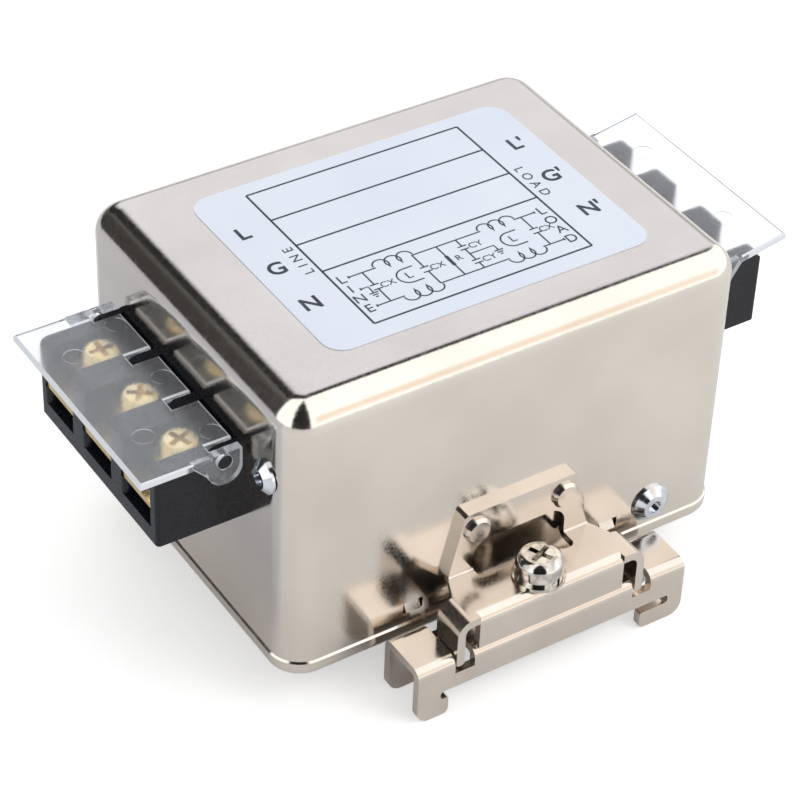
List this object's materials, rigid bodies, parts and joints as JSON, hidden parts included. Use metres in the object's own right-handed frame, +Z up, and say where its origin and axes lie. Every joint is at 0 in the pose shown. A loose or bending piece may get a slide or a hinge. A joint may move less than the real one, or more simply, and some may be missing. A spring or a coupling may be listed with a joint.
{
  "type": "EMI line filter",
  "caption": "Mains line filter in a plated steel can with screw terminal blocks under hinged clear covers and clips for a mounting rail.",
  "frame": {"origin": "under the middle of the part, on the plane of the rail clips' hook tips", "axes": "+X along the can from the line terminals to the load terminals, +Y across to the back rail clip, +Z up through the label"},
  "size_m": [0.0987, 0.0732, 0.0496],
  "materials": {
    "plated_can": "bright plated",
    "plated_sheet": "plated",
    "plated_bracket": "satin plated",
    "nickel_steel": "bright nickel",
    "yellow_steel": "yellow plated",
    "aluminium_rivet": "satin",
    "label_film": "matt film",
    "black_plastic": "moulded",
    "clear_plastic": "clear",
    "brass": "bright",
    "board_laminate": "laminate",
    "capacitor_case": "moulded",
    "capacitor_coating": "dipped",
    "resistor_coating": "coated",
    "ferrite": "pressed",
    "copper_wire": "enamelled copper",
    "divider_board": "fibre board"
  },
  "bodies": {
    "housing": {"can_shell": "plated_can", "base_plate": "plated_sheet", "retaining_fork_line": "plated_sheet", "retaining_fork_load": "plated_sheet", "rail_bracket_front": "plated_bracket", "rail_bracket_back": "plated_bracket", "rail_clip_front": "plated_bracket", "rail_clip_back": "plated_bracket", "bracket_rivets": "plated_bracket", "clip_screws": "nickel_steel", "flat_washers": "nickel_steel", "spring_washers": "nickel_steel", "block_rivets": "aluminium_rivet", "base_rivets": "aluminium_rivet", "rating_label": "label_film", "terminal_block_line": "black_plastic", "terminal_block_load": "black_plastic", "terminal_plates_line": "brass", "terminal_plates_load": "brass", "board_pillars": "brass", "terminal_screws_line": "yellow_steel", "terminal_screws_load": "yellow_steel", "clamp_washers_line": "yellow_steel", "clamp_washers_load": "yellow_steel", "circuit_board": "board_laminate", "x_capacitors": "capacitor_case", "y_capacitors": "capacitor_coating", "bleed_resistor": "resistor_coating", "choke_core_line": "ferrite", "choke_core_load": "ferrite", "choke_windings_line": "copper_wire", "choke_windings_load": "copper_wire", "choke_divider_line": "divider_board", "choke_divider_load": "divider_board", "tail_wires_line": "copper_wire", "tail_wires_load": "copper_wire"},
    "cover_line": {"terminal_cover_line": "clear_plastic"},
    "cover_load": {"terminal_cover_load": "clear_plastic"}
  },
  "joints": [
    {"name": "cover_line_hinge", "type": "hinge", "parent": "housing", "child": "cover_line", "pos_m": [-0.03775, 0, 0.0379], "axis": [0, 1, 0], "range_deg": [0, 95]},
    {"name": "cover_load_hinge", "type": "hinge", "parent": "housing", "child": "cover_load", "pos_m": [0.03775, 0, 0.0379], "axis": [0, -1, 0], "range_deg": [-10.5, 84.5]}
  ]
}
